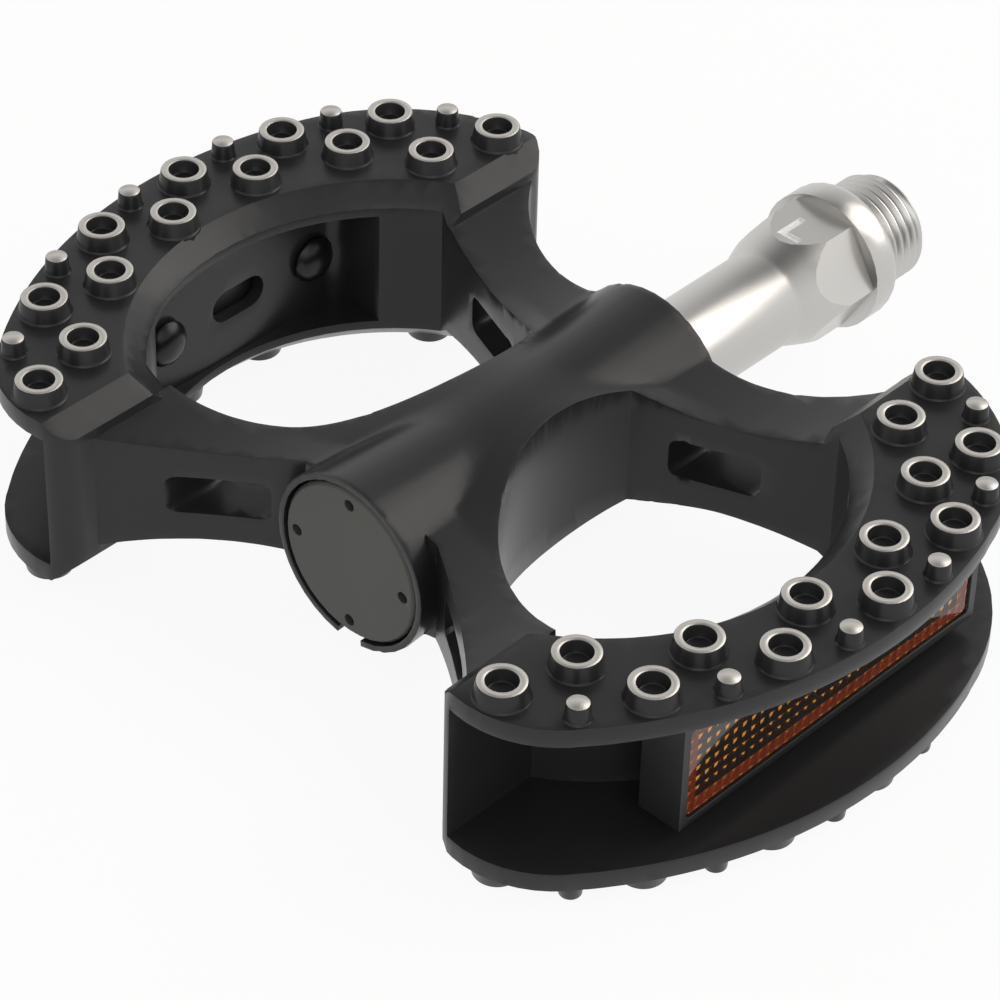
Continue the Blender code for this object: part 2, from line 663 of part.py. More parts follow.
def make_spindle(parent, finish):
    """Spindle with its bearing cone, shank, wrench hexagon, collar and crank thread."""
    pitch = cup_pitch(INNER_CUP_RADIUS)
    curve = race(INNER_BALL_X, pitch, -90, 0)
    inner_end = curve[-1][0]
    profile = [(SMALL_END_X, 0), (SMALL_END_X, SMALL_END_RADIUS)]
    step_x = OUTER_BALL_X + CLEARANCE
    profile += [(step_x, SMALL_END_RADIUS), (step_x + STEP_RUN, MIDDLE_RADIUS)]
    profile += [(INNER_BALL_X - BALL_RADIUS - STEP_RUN, MIDDLE_RADIUS)] + curve
    profile += [(inner_end + STEP_RUN, curve[-1][1]), (inner_end + 2 * STEP_RUN, SHANK_RADIUS)]
    profile += [(WRENCH_END, SHANK_RADIUS)]
    round_x = COLLAR_FRONT - COLLAR_ROUND
    shoulder = arc(round_x, COLLAR_RADIUS - COLLAR_ROUND, COLLAR_ROUND, math.pi / 2, 0, 5)
    profile += [(WRENCH_END, COLLAR_RADIUS)] + shoulder + [(COLLAR_FRONT, THREAD_RADIUS)]
    profile += [(SPINDLE_REACH - THREAD_CHAMFER, THREAD_RADIUS)]
    profile += [(SPINDLE_REACH, THREAD_RADIUS - THREAD_CHAMFER)]
    spindle = add_object("spindle", turned(profile + [(SPINDLE_REACH, 0)], SPINDLE_STEPS))
    flare = flare_profile()
    end_x = WRENCH_END + CLEARANCE
    flare = [(FLARE_START, 0)] + flare + [(end_x, COLLAR_RADIUS - CLEARANCE), (end_x, 0)]
    wrench = add_object("wrench", turned(flare, SPINDLE_STEPS))
    boolean(wrench, hexagon("hexagon", WRENCH_FLATS, FLARE_START - OVERCUT, end_x + OVERCUT), "INTERSECT")
    boolean(spindle, wrench, "UNION")
    spindle.data.shade_smooth()
    spindle.data.set_sharp_from_angle(angle=math.radians(30))
    dress(spindle, parent, finish)
    return spindle


def hexagon(name, flats, low, high):
    """A hexagonal bar along X, given across its flats."""
    corner = flats / 2 / math.cos(math.pi / 6)
    made = prism(arc(0, 0, corner, 0, math.tau, 6)[:-1], low, high)
    bmesh.ops.rotate(made, verts=made.verts, matrix=Matrix(((0, 0, 1), (1, 0, 0), (0, 1, 0))))
    return add_object(name, made)


def make_lock_nut(parent, finish):
    """The lock nut outside the key washer."""
    high = OUTER_BALL_X - CONE_LENGTH - WASHER_THICKNESS - 2 * CLEARANCE
    low = high - NUT_THICKNESS
    nut = hexagon("lock_nut", NUT_FLATS, low, high)
    bore = [(low - OVERCUT, 0), (low - OVERCUT, SMALL_END_RADIUS + CLEARANCE)]
    bore += [(high + OVERCUT, SMALL_END_RADIUS + CLEARANCE), (high + OVERCUT, 0)]
    boolean(nut, add_object("nut_bore", turned(bore, SPINDLE_STEPS)), "DIFFERENCE")
    dress(nut, parent, finish)
    return nut


def make_washer(parent, finish):
    """The key washer between the cone and the lock nut."""
    high = OUTER_BALL_X - CONE_LENGTH - CLEARANCE
    low = high - WASHER_THICKNESS
    bore = SMALL_END_RADIUS + CLEARANCE
    profile = [(low, bore), (low, WASHER_RADIUS), (high, WASHER_RADIUS), (high, bore)]
    return add_object("key_washer", turned(profile, SPINDLE_STEPS), parent, finish)


def make_seal(parent, finish):
    """The dust seal in the mouth of the barrel round the shank."""
    high = CRANK_END - SEAL_RECESS
    low = high - SEAL_LENGTH
    inside = SHANK_RADIUS + CLEARANCE
    outside = INNER_CUP_RADIUS
    profile = [(low, inside), (low, outside), (high, outside), (high, inside)]
    return add_object("dust_seal", turned(profile, ROUND_STEPS), parent, finish)


def make_cap(parent, finish):
    """The dust cap: a disc with a round edge and four blind holes for a pin spanner."""
    radius = CAP_BORE - CLEARANCE
    inner = CAP_END + CAP_THICKNESS
    profile = [(CAP_END, 0), (CAP_END, radius - CAP_EDGE), (CAP_END + CAP_EDGE, radius)]
    profile += [(inner, radius), (inner, 0)]
    cap = add_object("dust_cap", turned(profile, ROUND_STEPS))
    for index in range(CAP_HOLES):
        turn = math.tau * index / CAP_HOLES
        outline = arc(0, 0, CAP_HOLE_RADIUS, 0, math.tau, SMALL_HOLE_STEPS)[:-1]
        made = prism(outline, CAP_END - OVERCUT, CAP_END + CAP_HOLE_DEPTH)
        bmesh.ops.rotate(made, verts=made.verts, matrix=Matrix(((0, 0, 1), (1, 0, 0), (0, 1, 0))))
        place = (0, CAP_HOLE_CIRCLE * math.cos(turn), CAP_HOLE_CIRCLE * math.sin(turn))
        bmesh.ops.translate(made, verts=made.verts, vec=place)
        boolean(cap, add_object("cap_hole", made), "DIFFERENCE")
    dress(cap, parent, finish)
    return cap


def make_balls(name, ball_x, cup_radius, count, parent, finish):
    """A ring of loose bearing balls, each with its own object."""
    pitch = cup_pitch(cup_radius)
    for index in range(count):
        turn = math.tau * index / count
        made = bmesh.new()
        bmesh.ops.create_uvsphere(made, u_segments=10, v_segments=6, radius=BALL_RADIUS)
        ball = add_object(f"{name}_{index + 1:02d}", made, parent, finish)
        ball.location = (ball_x, pitch * math.cos(turn), pitch * math.sin(turn))


def make_reflector(side, name, parent, housing_finish, lens_finish):
    """A reflector: a moulded housing with a recessed front, and the lens in it."""
    low = REFLECTOR_MIDDLE - REFLECTOR_LENGTH / 2
    high = REFLECTOR_MIDDLE + REFLECTOR_LENGTH / 2
    back = SEAT_FACE + SEAT_WALL + CLEARANCE
    deep = REFLECTOR_FRONT - REFLECTOR_END_DEPTH
    step = REFLECTOR_END_LENGTH
    outline = [(low, deep), (low + step, deep), (low + step, back), (high - step, back), (high - step, deep)]
    outline += [(high, deep), (high, REFLECTOR_FRONT), (low, REFLECTOR_FRONT)]
    made = prism(outline, -REFLECTOR_HALF_HEIGHT, REFLECTOR_HALF_HEIGHT)
    housing = add_object(f"reflector_housing_{name}", mirrored(made, side))
    half_length = REFLECTOR_LENGTH / 2 - BEZEL
    half_height = REFLECTOR_HALF_HEIGHT - BEZEL
    lens_back = REFLECTOR_FRONT - LENS_THICKNESS
    recess = slab(half_length, half_height, lens_back - CLEARANCE, REFLECTOR_FRONT + OVERCUT)
    boolean(housing, add_object("recess", mirrored(recess, side)), "DIFFERENCE")
    for x in screw_places():
        outline = arc(0, 0, SCREW_RADIUS + CLEARANCE, 0, math.tau, HOLE_STEPS)[:-1]
        hole = prism(outline, back - OVERCUT, lens_back)
        bmesh.ops.rotate(hole, verts=hole.verts, matrix=Matrix(((1, 0, 0), (0, 0, 1), (0, 1, 0))))
        bmesh.ops.translate(hole, verts=hole.verts, vec=(x, 0, 0))
        boolean(housing, add_object("screw_hole", mirrored(hole, side)), "DIFFERENCE")
    dress(housing, parent, housing_finish)
    lens = slab(half_length - CLEARANCE, half_height - CLEARANCE, lens_back, REFLECTOR_FRONT - CLEARANCE)
    add_object(f"reflector_lens_{name}", mirrored(lens, side), parent, lens_finish)


def slab(half_length, half_height, low, high):
    """A flat plate across Y, centred on the reflector."""
    outline = rounded_box(half_length, half_height, LENS_CORNER, 2)
    made = prism(outline, low, high)
    bmesh.ops.rotate(made, verts=made.verts, matrix=Matrix(((1, 0, 0), (0, 0, 1), (0, 1, 0))))
    bmesh.ops.translate(made, verts=made.verts, vec=(REFLECTOR_MIDDLE, 0, 0))
    return made


def make_screw(side, name, x, parent, finish):
    """A button-head screw that holds a reflector from the opening's side."""
    head_back = SEAT_FACE - CLEARANCE
    tip = REFLECTOR_FRONT - LENS_THICKNESS - 2 * CLEARANCE
    crown = head_back - SCREW_HEAD_HEIGHT
    shoulder_height, shoulder_radius = HEAD_SHOULDER_SHARES
    profile = [(crown, 0), (crown, SCREW_HEAD_RADIUS * HEAD_CROWN_SHARE)]
    profile += [(crown + SCREW_HEAD_HEIGHT * shoulder_height, SCREW_HEAD_RADIUS * shoulder_radius)]
    profile += [(crown + SCREW_HEAD_HEIGHT * HEAD_SIDE_SHARE, SCREW_HEAD_RADIUS)]
    profile += [(head_back, SCREW_HEAD_RADIUS)]
    profile += [(head_back, SCREW_RADIUS), (tip, SCREW_RADIUS), (tip, 0)]
    made = turned(profile, HOLE_STEPS)
    bmesh.ops.rotate(made, verts=made.verts, matrix=Matrix(((0, -1, 0), (1, 0, 0), (0, 0, 1))))
    bmesh.ops.translate(made, verts=made.verts, vec=(x, 0, 0))
    add_object(f"reflector_screw_{name}", mirrored(made, side), parent, finish)


def add_axis(name):
    """An empty on the spindle axis that carries the pieces of one moving group."""
    empty = bpy.data.objects.new(name, None)
    empty.location = (-SPINDLE_REACH, 0, 0)
    bpy.context.scene.collection.objects.link(empty)
    return empty


def main():
    for old in list(bpy.data.objects):
        bpy.data.objects.remove(old)
    black = material("black_coated_aluminium", (0.024, 0.024, 0.025), 0.38, 0.0)
    grey_cap = material("grey_anodised_cap", (0.075, 0.075, 0.066), 0.55, 0.4)
    chrome = material("satin_chromed_steel", (0.66, 0.66, 0.67), 0.22, 1.0)
    steel = material("hardened_steel", (0.52, 0.52, 0.53), 0.25, 1.0)
    rubber = material("black_rubber", (0.02, 0.02, 0.02), 0.8, 0.0)
    plastic = material("black_plastic", (0.022, 0.022, 0.023), 0.45, 0.0)
    amber = material("amber_acrylic", (0.42, 0.12, 0.012), 0.12, 0.0)
    black_steel = material("blackened_steel", (0.05, 0.05, 0.052), 0.35, 0.8)

    fixed = add_axis("spindle_axis")
    make_spindle(fixed, chrome)
    make_cone(fixed, steel)
    make_washer(fixed, steel)
    make_lock_nut(fixed, steel)

    pedal = add_axis("pedal_axis")
    make_body(pedal, black)
    make_cap(pedal, grey_cap)
    make_seal(pedal, rubber)
    make_cup("inner_cup", INNER_BALL_X, INNER_CUP_RADIUS, 1, pedal, steel)
    make_cup("outer_cup", OUTER_BALL_X, OUTER_CUP_RADIUS, -1, pedal, steel)
    for side, name in ((-1, "front"), (1, "rear")):
        make_reflector(side, name, pedal, plastic, amber)
        for place, x in zip(("cap_side", "crank_side"), screw_places()):
            make_screw(side, f"{name}_{place}", x, pedal, black_steel)

    inner_axis = add_axis("inner_ball_axis")
    make_balls("inner_ball", INNER_BALL_X, INNER_CUP_RADIUS, INNER_BALLS, inner_axis, steel)
    outer_axis = add_axis("outer_ball_axis")
    make_balls("outer_ball", OUTER_BALL_X, OUTER_CUP_RADIUS, OUTER_BALLS, outer_axis, steel)


main()
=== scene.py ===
"""Studio scene of the flat bicycle pedal: softened casting, round studs, threaded spindle, prism lenses."""

import math

import bmesh
import bpy
from mathutils import Matrix, Vector


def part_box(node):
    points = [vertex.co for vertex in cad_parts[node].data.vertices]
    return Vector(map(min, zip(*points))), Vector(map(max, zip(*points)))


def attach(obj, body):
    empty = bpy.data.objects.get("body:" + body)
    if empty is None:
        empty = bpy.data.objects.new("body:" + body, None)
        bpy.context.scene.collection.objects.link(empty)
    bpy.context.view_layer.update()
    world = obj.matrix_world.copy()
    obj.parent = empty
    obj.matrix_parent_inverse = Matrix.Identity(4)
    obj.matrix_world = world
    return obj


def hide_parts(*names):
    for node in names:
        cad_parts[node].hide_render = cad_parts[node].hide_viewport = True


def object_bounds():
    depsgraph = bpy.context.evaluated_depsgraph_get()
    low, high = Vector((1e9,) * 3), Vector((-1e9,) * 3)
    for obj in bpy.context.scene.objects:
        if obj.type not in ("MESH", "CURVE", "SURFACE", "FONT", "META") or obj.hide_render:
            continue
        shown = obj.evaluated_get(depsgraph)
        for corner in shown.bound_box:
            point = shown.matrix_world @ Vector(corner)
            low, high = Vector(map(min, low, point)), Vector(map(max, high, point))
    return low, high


MM = 0.001

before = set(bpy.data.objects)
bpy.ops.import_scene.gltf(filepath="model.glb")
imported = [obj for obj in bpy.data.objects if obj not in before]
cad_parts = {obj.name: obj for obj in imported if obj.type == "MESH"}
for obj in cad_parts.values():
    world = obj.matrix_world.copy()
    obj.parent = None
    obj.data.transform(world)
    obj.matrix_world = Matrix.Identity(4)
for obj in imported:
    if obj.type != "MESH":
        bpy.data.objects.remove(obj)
cad_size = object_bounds()

# Sizes of the dressing
MERGE = 0.002 * MM
STUD_HEIGHT = 2.05 * MM
PAD_SKIM = 0.02 * MM
CAST_EDGE = 0.35 * MM
FINE_EDGE = 0.15 * MM
FLAT_AREA = (8 * MM) ** 2
RING_WALL = 0.97 * MM
RING_GROW = 1.04
RING_DRAFT = 0.36 * MM
PIN_DRAFT = 0.22 * MM
RING_HOLE_DEPTH = 1.7 * MM
RING_HOLE_TAPER = (0.95, 0.85)
STUD_FILLET = 0.25 * MM
FILLET_CURVE = ((0.5, 0.08), (0.12, 0.4))
STUD_SINK = 0.15 * MM
TOP_BREAK = 0.12 * MM
TOP_BREAK_RUN = 0.3
HOLE_BREAK_RUN = 0.5
RING_SIDES = 40
PIN_SIDES = 24
THREAD_LENGTH = 7.4 * MM
THREAD_PITCH = 1.27 * MM
THREAD_DEPTH = 0.65 * MM
THREAD_CHAMFER = 0.8 * MM
THREAD_CREST = (0.44, 0.56)
THREAD_FOOT = (0.01, 0.99)
THREAD_STEPS = 56
WRENCH_FLATS = 15.0 * MM
MARK_CORNER = Vector((-19.6, 1.4)) * MM
MARK_STROKE = 4.4 * MM
MARK_FOOT = 3.3 * MM
MARK_LINE = 1.0 * MM
MARK_DEPTH = 0.3 * MM
PRISM_PITCH = 1.5 * MM
PRISM_DEPTH = 0.55 * MM
FACING = 0.9
LEVEL = 0.02

# Forms of the casting that are drawn finer here, about the middle of the pedal: arcs in plan as x, y and
# radius, the barrel and the arms
PEDAL_MIDDLE = -69.6 * MM
ARCH_ARC = tuple(v * MM for v in (-2.3, 15.5, 29.4))
PLAN_ARCS = [tuple(v * MM for v in arc) for arc in (
    (3.35, 34.3, 28.0), (0.0, 0.0, 59.4), (-29.0, 34.931, 14.0), (11.0, 28.34, 29.0),
    (49.228, 9.468, 24.2), (-103.857, -38.051, 95.0))]
BAND_LOW = 9.2 * MM
BARREL_END = 25.6 * MM
BARREL_WAIST = 10.4 * MM
BARREL_FLARE = 1.1 * MM
ARM_HALF = 6.4 * MM
ARM_DIP_AT = 18.0 * MM
ARM_DIP_RISE = 10.7
ARM_END = 28.0 * MM
SADDLE_RISE = 4.2 * MM
SADDLE_END = 26.0 * MM
BLEND = 0.9 * MM
FAIR_PITCH = 2.0 * MM
SADDLE_PITCH = 1.0 * MM
FAIR_SNAP = 0.3 * MM
SHORT_EDGE = 0.25 * MM
STEEP = 0.72
FAIR_REACH = 0.13 * MM
ARC_REACH = 0.1 * MM

# Camera, solved from the photograph
CAMERA_PLACE = Vector((-349.77, -257.4, 305.2)) * MM
CAMERA_AZIMUTH = -47.367
CAMERA_ELEVATION = 39.235
CAMERA_ROLL = 1.537
CAMERA_LENS = 149.646

# Studio; each softbox has a place from the middle of the pedal in metres, a width, watts and a colour
FLOOR_SIZE = 3.0
FLOOR_GLOW = 0.92
CEILING_LEVEL = 0.15
CEILING_CURVE = 2.5
SOFTBOXES = {"camera_box": ((-0.75, -0.75, 0.85), 0.9, 2.0, "#ffffff"),
             "right_box": ((0.68, -0.39, 0.62), 0.8, 4.8, "#fffaf3")}

# Spread of a finish's roughness over its patches
ROUGH_LOW = 0.85
ROUGH_HIGH = 1.15


def linear(hex_colour):
    """An sRGB hex colour as linear RGBA."""
    parts = [int(hex_colour[i:i + 2], 16) / 255 for i in (1, 3, 5)]
    return tuple(c / 12.92 if c <= 0.04045 else ((c + 0.055) / 1.055) ** 2.4 for c in parts) + (1.0,)


def add_node(tree, kind, inputs=None, **settings):
    """Adds a shader node, sets it, and fills its inputs with values or links."""
    node = tree.nodes.new(kind)
    for name, value in settings.items():
        setattr(node, name, value)
    for name, value in (inputs or {}).items():
        if isinstance(value, bpy.types.NodeSocket):
            tree.links.new(value, node.inputs[name])
        else:
            node.inputs[name].default_value = value
    return node


def finish(name, colour, roughness, metallic=0.0, shade=0.85, patch=6.0, grain=0.3, bump=0.004, **extra):
    """A Principled material with faint patches in colour and roughness and a fine grain, sized in mm.

    Where the real grain is too fine to show, it is drawn coarser so that it does.
    """
    made = bpy.data.materials.new(name)
    made.use_nodes = True
    tree = made.node_tree
    shader = tree.nodes["Principled BSDF"]
    place = add_node(tree, "ShaderNodeTexCoord").outputs["Object"]
    cloud = add_node(tree, "ShaderNodeTexNoise", {"Vector": place, "Scale": 1 / (patch * MM), "Detail": 3.0})
    base = linear(colour)
    dark = tuple(c * shade for c in base[:3]) + (1.0,)
    mix = add_node(tree, "ShaderNodeMix", {"Factor": cloud.outputs["Fac"]}, data_type="RGBA")
    mix.inputs[6].default_value = dark
    mix.inputs[7].default_value = base
    tree.links.new(mix.outputs[2], shader.inputs["Base Color"])
    rough = add_node(tree, "ShaderNodeMapRange", {"Value": cloud.outputs["Fac"]})
    rough.inputs["To Min"].default_value = roughness * ROUGH_LOW
    rough.inputs["To Max"].default_value = roughness * ROUGH_HIGH
    tree.links.new(rough.outputs["Result"], shader.inputs["Roughness"])
    fine = add_node(tree, "ShaderNodeTexNoise", {"Vector": place, "Scale": 1 / (grain * MM), "Detail": 2.0})
    relief = add_node(tree, "ShaderNodeBump", {"Height": fine.outputs["Fac"], "Distance": bump * MM})
    tree.links.new(relief.outputs["Normal"], shader.inputs["Normal"])
    shader.inputs["Metallic"].default_value = metallic
    for key, value in extra.items():
        shader.inputs[key.replace("_", " ")].default_value = value
    return made


def copy_node(node):
    """A merged bmesh copy of a CAD node."""
    made = bmesh.new()
    made.from_mesh(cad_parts[node].data)
    bmesh.ops.remove_doubles(made, verts=made.verts, dist=MERGE)
    bmesh.ops.recalc_face_normals(made, faces=made.faces)
    return made


def trim(made, place, normal):
    """Cuts a closed bmesh at a plane, removes what lies beyond it and closes the cut."""
    geometry = made.verts[:] + made.edges[:] + made.faces[:]
    cut = bmesh.ops.bisect_plane(made, geom=geometry, plane_co=place, plane_no=normal, clear_outer=True)
    rim = [item for item in cut["geom_cut"] if isinstance(item, bmesh.types.BMEdge)]
    bmesh.ops.holes_fill(made, edges=rim)


def flatten(made, degrees=0.6):
    """Joins the triangles of flat stretches into larger faces."""
    bmesh.ops.dissolve_limit(made, angle_limit=math.radians(degrees), verts=made.verts, edges=made.edges)


def add_piece(name, made, body, materials, node=None):
    """Turns a bmesh into a piece that rides on a body and may stand for a CAD node."""
    mesh = bpy.data.meshes.new(name)
    made.to_mesh(mesh)
    made.free()
    mesh.shade_smooth()
    for item in materials:
        mesh.materials.append(item)
    piece = bpy.data.objects.new(name, mesh)
    bpy.context.scene.collection.objects.link(piece)
    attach(piece, body)
    if node:
        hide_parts(node)
    return piece


def soften(piece, width, segments=3, degrees=30):
    """Rounds the sharp edges of a piece."""
    bevel = piece.modifiers.new("Edges", "BEVEL")
    bevel.width = width
    bevel.segments = segments
    bevel.limit_method = "ANGLE"
    bevel.angle_limit = math.radians(degrees)
    bevel.harden_normals = True
    return piece


def turned_about_z(profile, sides):
    """A bmesh of a profile of (radius, z) points, from an outer to an inner end, turned about Z."""
    made = bmesh.new()
    points = [made.verts.new((radius, 0, z)) for radius, z in profile]
    edges = [made.edges.new(pair) for pair in zip(points, points[1:])]
    bmesh.ops.spin(made, geom=points + edges, cent=(0, 0, 0), axis=(0, 0, 1), angle=math.tau, steps=sides,
                   use_merge=True)
    bmesh.ops.remove_doubles(made, verts=made.verts, dist=MERGE)
    bmesh.ops.recalc_face_normals(made, faces=made.faces)
    return made


def add_copy(target, source, matrix):
    """Adds a placed copy of a bmesh to another."""
    mesh = bpy.data.meshes.new("copy")
    source.to_mesh(mesh)
    mesh.transform(matrix)
    if matrix.determinant() < 0:
        mesh.flip_normals()
    target.from_mesh(mesh)
    bpy.data.meshes.remove(mesh)


def stud_tops(casting, height):
    """Centre and radius of every stud top of one face of the casting."""
    level = [face for face in casting.faces if all(abs(v.co.z - height) < 10 * MERGE for v in face.verts)]
    left = set(level)
    tops = []
    while left:
        group = [left.pop()]
        for face in group:
            for edge in face.edges:
                near = [other for other in edge.link_faces if other in left]
                left.difference_update(near)
                group += near
        points = {v for face in group for v in face.verts}
        centre = sum((v.co for v in points), Vector()) / len(points)
        tops.append((centre, max((v.co - centre).length for v in points)))
    return tops


def ring_stud(radius, wall, draft, sides):
    """One stud with its base at z 0: a ring where it has a wall, else a solid pin."""
    foot = radius + draft
    side_low = foot - draft * STUD_FILLET / STUD_HEIGHT
    top_run = TOP_BREAK * TOP_BREAK_RUN
    profile = [(0, -STUD_SINK), (foot + STUD_FILLET, -STUD_SINK)]
    profile += [(foot + STUD_FILLET * out, STUD_FILLET * rise) for out, rise in FILLET_CURVE]
    profile += [(side_low, STUD_FILLET)]
    profile += [(radius + top_run, STUD_HEIGHT - TOP_BREAK), (radius - top_run, STUD_HEIGHT)]
    if wall:
        inner = radius - wall
        floor = STUD_HEIGHT - RING_HOLE_DEPTH
        low, bottom = (inner * share for share in RING_HOLE_TAPER)
        profile += [(inner + TOP_BREAK * HOLE_BREAK_RUN, STUD_HEIGHT), (inner, STUD_HEIGHT - TOP_BREAK)]
        profile += [(low, floor + TOP_BREAK), (bottom, floor), (0, floor)]
    else:
        profile += [(0, STUD_HEIGHT)]
    made = turned_about_z(profile, sides)
    for face in made.faces:
        face.material_index = int(all(v.co.z > STUD_HEIGHT - 0.5 * TOP_BREAK for v in face.verts))
    return made


def slice_along(made, axis, low, high, pitch, limit):
    """Cuts the faces of a bmesh within a limit of the spindle axis at even places along one axis."""
    normal = Vector((axis == 0, axis == 1, axis == 2))
    snap = FAIR_SNAP * pitch / FAIR_PITCH
    for step in range(1, int((high - low) / pitch)):
        faces = [f for f in made.faces if abs(f.normal[axis]) < STEEP and abs(f.verts[0].co.y) < limit]
        edges = {e for f in faces for e in f.edges}
        points = {v for f in faces for v in f.verts}
        bmesh.ops.bisect_plane(made, geom=list(points) + list(edges) + faces, dist=snap,
                               plane_co=normal * (low + step * pitch), plane_no=normal)


def onto_arc(x, y, arc):
    """A plan point moved onto an arc that it nearly lies on, else as it was."""
    centre_x, centre_y, radius = arc
    distance = math.hypot(x - centre_x, y - centre_y)
    if abs(distance - radius) > ARC_REACH:
        return x, y
    share = radius / distance
    return centre_x + (x - centre_x) * share, centre_y + (y - centre_y) * share


def barrel_radius(x):
    """Outer radius of the barrel, narrowest in the middle."""
    return BARREL_WAIST + BARREL_FLARE * (x / BARREL_END) ** 2


def blended_height(x, y):
    """Plain and blended half height of the barrel and arms at a plan point."""
    barrel = math.sqrt(max(0, barrel_radius(x) ** 2 - y ** 2))
    arm = ARM_HALF + ARM_DIP_RISE * (abs(y) - ARM_DIP_AT) ** 2
    saddle = ARM_HALF + SADDLE_RISE * max(0, 1 - (x ** 2 + y ** 2) / SADDLE_END ** 2) ** 2
    web = max(arm, saddle)
    near = max(0, BLEND - abs(barrel - web))
    return max(barrel, arm), max(barrel, web) + near ** 2 / BLEND / 4


def fair(shell):
    """Rounds the casting's polygon arcs and blends the barrel into the arms in the middle of the pedal."""
    low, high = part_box("body_casting")
    for axis in (0, 1, 2):
        slice_along(shell, axis, low[axis], high[axis], FAIR_PITCH, high.y + FAIR_PITCH)
    slice_along(shell, 0, PEDAL_MIDDLE - BARREL_END, PEDAL_MIDDLE + BARREL_END, SADDLE_PITCH, ARM_DIP_AT)
    slice_along(shell, 1, -ARM_DIP_AT, ARM_DIP_AT, SADDLE_PITCH, ARM_DIP_AT)
    bmesh.ops.dissolve_degenerate(shell, dist=SHORT_EDGE, edges=shell.edges)
    for vert in shell.verts:
        x, y, z = vert.co.x - PEDAL_MIDDLE, vert.co.y, vert.co.z
        plain, blended = blended_height(x, y)
        across = math.hypot(y, z)
        if abs(x) < BARREL_END and abs(y) < ARM_END and abs(abs(z) - plain) < FAIR_REACH:
            vert.co.z = math.copysign(blended, z)
        elif abs(x) < BARREL_END and abs(across - barrel_radius(x)) < ARC_REACH:
            vert.co.yz = (y * barrel_radius(x) / across, z * barrel_radius(x) / across)
        side = math.copysign(1, y)
        plan_x, plan_y = x, abs(y)
        arch_x, arch_y, arch_radius = ARCH_ARC
        arcs = [(arch_x, arch_y, arch_radius + max(0, abs(z) - BAND_LOW))]
        for arc in arcs + PLAN_ARCS:
            plan_x, plan_y = onto_arc(plan_x, plan_y, arc)
        if abs(y) > BARREL_WAIST / 2:
            vert.co.x, vert.co.y = plan_x + PEDAL_MIDDLE, side * plan_y
    bmesh.ops.recalc_face_normals(shell, faces=shell.faces)


def make_casting(black, bare):
    """The casting with softened edges, and its studs with bare tops."""
    low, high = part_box("body_casting")
    shell = copy_node("body_casting")
    studs = bmesh.new()
    for way, top in ((1, high.z), (-1, low.z)):
        tops = stud_tops(shell, top)
        middle = (min(r for _, r in tops) + max(r for _, r in tops)) / 2
        ring = ring_stud(max(r for _, r in tops) * RING_GROW, RING_WALL, RING_DRAFT, RING_SIDES)
        pin = ring_stud(min(r for _, r in tops), 0, PIN_DRAFT, PIN_SIDES)
        for centre, radius in tops:
            place = Vector((centre.x, centre.y, top - way * STUD_HEIGHT))
            add_copy(studs, ring if radius > middle else pin,
                     Matrix.Translation(place) @ Matrix.Diagonal((1, 1, way, 1)))
    for way, top in ((1, high.z), (-1, low.z)):
        trim(shell, (0, 0, top - way * (STUD_HEIGHT + PAD_SKIM)), (0, 0, way))
    flatten(shell)
    fair(shell)
    soften(add_piece("casting", shell, "pedal", [black], "body_casting"), CAST_EDGE)
    add_piece("tread_studs", studs, "pedal", [black, bare])


def thread(radius, start, end):
    """A helical ridge of 60 degree form on the X axis, let into the core at both ends."""
    turns = math.ceil((end - start) / THREAD_PITCH)
    root = radius - THREAD_DEPTH
    made = bmesh.new()
    (foot, far_foot), (crest, far_crest) = THREAD_FOOT, THREAD_CREST
    section = ((foot, root - THREAD_DEPTH), (foot, root), (crest, radius), (far_crest, radius),
               (far_foot, root), (far_foot, root - THREAD_DEPTH))
    points = [made.verts.new((start + THREAD_PITCH * (share - 1), 0, r)) for share, r in section]
    face = made.faces.new(points)
    bmesh.ops.spin(made, geom=[face] + face.edges[:] + points, cent=(0, 0, 0), axis=(1, 0, 0),
                   dvec=(THREAD_PITCH / THREAD_STEPS, 0, 0), angle=-math.tau * turns,
                   steps=THREAD_STEPS * turns)
    for vert in made.verts:
        limit = radius - max(0, vert.co.x - (end - THREAD_CHAMFER))
        across = math.hypot(vert.co.y, vert.co.z)
        vert.co.yz *= min(1, limit / across)
    trim(made, (end - PAD_SKIM, 0, 0), (1, 0, 0))
    bmesh.ops.recalc_face_normals(made, faces=made.faces)
    return made


def side_mark(level):
    """A cutter for the letter that tells a left pedal from a right one, on a level flat."""
    corner, line = MARK_CORNER, MARK_LINE
    outline = ((0, 0), (0, -MARK_FOOT), (line, -MARK_FOOT), (line, -line), (MARK_STROKE, -line),
               (MARK_STROKE, 0))
    made = bmesh.new()
    low = level - MARK_DEPTH
    face = made.faces.new([made.verts.new((corner.x + x, corner.y + y, low)) for x, y in outline])
    grown = bmesh.ops.extrude_face_region(made, geom=[face])
    risen = [item for item in grown["geom"] if isinstance(item, bmesh.types.BMVert)]
    bmesh.ops.translate(made, verts=risen, vec=(0, 0, 2 * MARK_DEPTH))
    bmesh.ops.recalc_face_normals(made, faces=made.faces)
    return made


def in_mark(place):
    """Tells whether a place lies in the hollow of the side mark."""
    x, y = place.xy - MARK_CORNER
    depth = WRENCH_FLATS / 2 - place.z
    return 0 <= x <= MARK_STROKE and -MARK_FOOT <= y <= 0 and PAD_SKIM < depth < 2 * MARK_DEPTH


